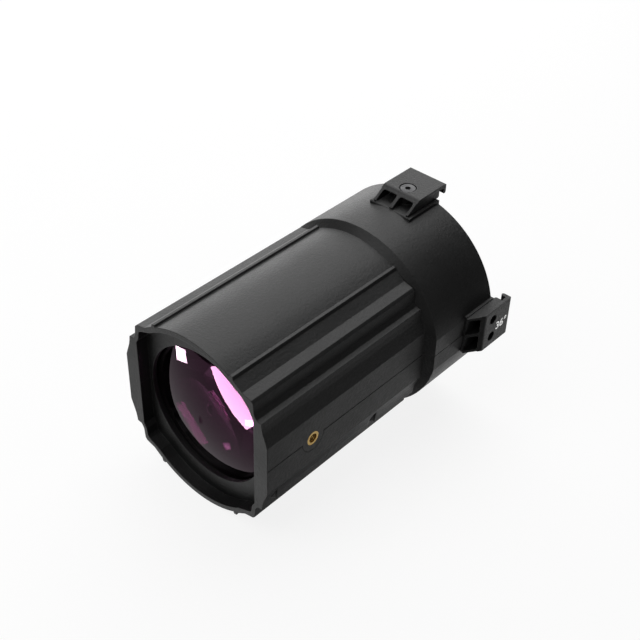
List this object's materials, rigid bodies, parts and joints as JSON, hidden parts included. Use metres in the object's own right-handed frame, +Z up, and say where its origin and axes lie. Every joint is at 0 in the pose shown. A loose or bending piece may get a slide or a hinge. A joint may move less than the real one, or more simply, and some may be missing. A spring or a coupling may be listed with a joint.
{
  "type": "spotlight lens tube",
  "caption": "Black cast lens tube of an ellipsoidal spotlight: two ribbed half shells around coated lenses, and a front holder for accessory frames with a swinging top latch.",
  "frame": {"origin": "on the optical axis, in the plane of the end face next to the gate", "axes": "+X along the optical axis the way the beam goes, +Z up towards the swinging latch, and -Y towards the focus knob's threaded insert"},
  "size_m": [0.239, 0.169, 0.169],
  "materials": {
    "black_casting": "satin black powder coat with a fine texture on die-cast aluminium",
    "coated_glass": "polished, with a purple anti-reflection coating",
    "silicone": "matt moulded",
    "brass_insert": "machined",
    "black_oxide_screws": "black oxide",
    "zinc_steel": "zinc plated",
    "nylon": "plain moulded nylon",
    "white_marking": "white pad print for the beam angle"
  },
  "bodies": {
    "tube": {"upper_shell": "black_casting", "lower_shell": "black_casting", "focus_knob_insert": "brass_insert", "rear_lens": "coated_glass", "rear_lens_cushion": "silicone", "front_lens": "coated_glass", "front_lens_cushion": "silicone", "shell_screws": "black_oxide_screws", "shell_spring_washers": "zinc_steel", "locating_pins": "zinc_steel", "left_bracket": "black_casting", "left_bracket_screws": "black_oxide_screws", "left_bracket_nuts": "zinc_steel", "bottom_bracket": "black_casting", "bottom_bracket_screws": "black_oxide_screws", "bottom_bracket_nuts": "zinc_steel", "right_bracket": "black_casting", "right_bracket_screws": "black_oxide_screws", "right_bracket_nuts": "zinc_steel", "latch_bush": "brass_insert", "latch_thrust_washer": "nylon", "latch_wave_washer": "zinc_steel", "latch_pivot_screw": "black_oxide_screws", "latch_washer": "zinc_steel", "latch_lock_nut": "zinc_steel"},
    "latch": {"top_latch": "black_casting"}
  },
  "joints": [
    {"name": "latch_swing", "type": "hinge", "parent": "tube", "child": "latch", "pos_m": [0.2146, 0, 0.08], "axis": [0, 0, 1], "range_deg": [-90, 90]}
  ]
}
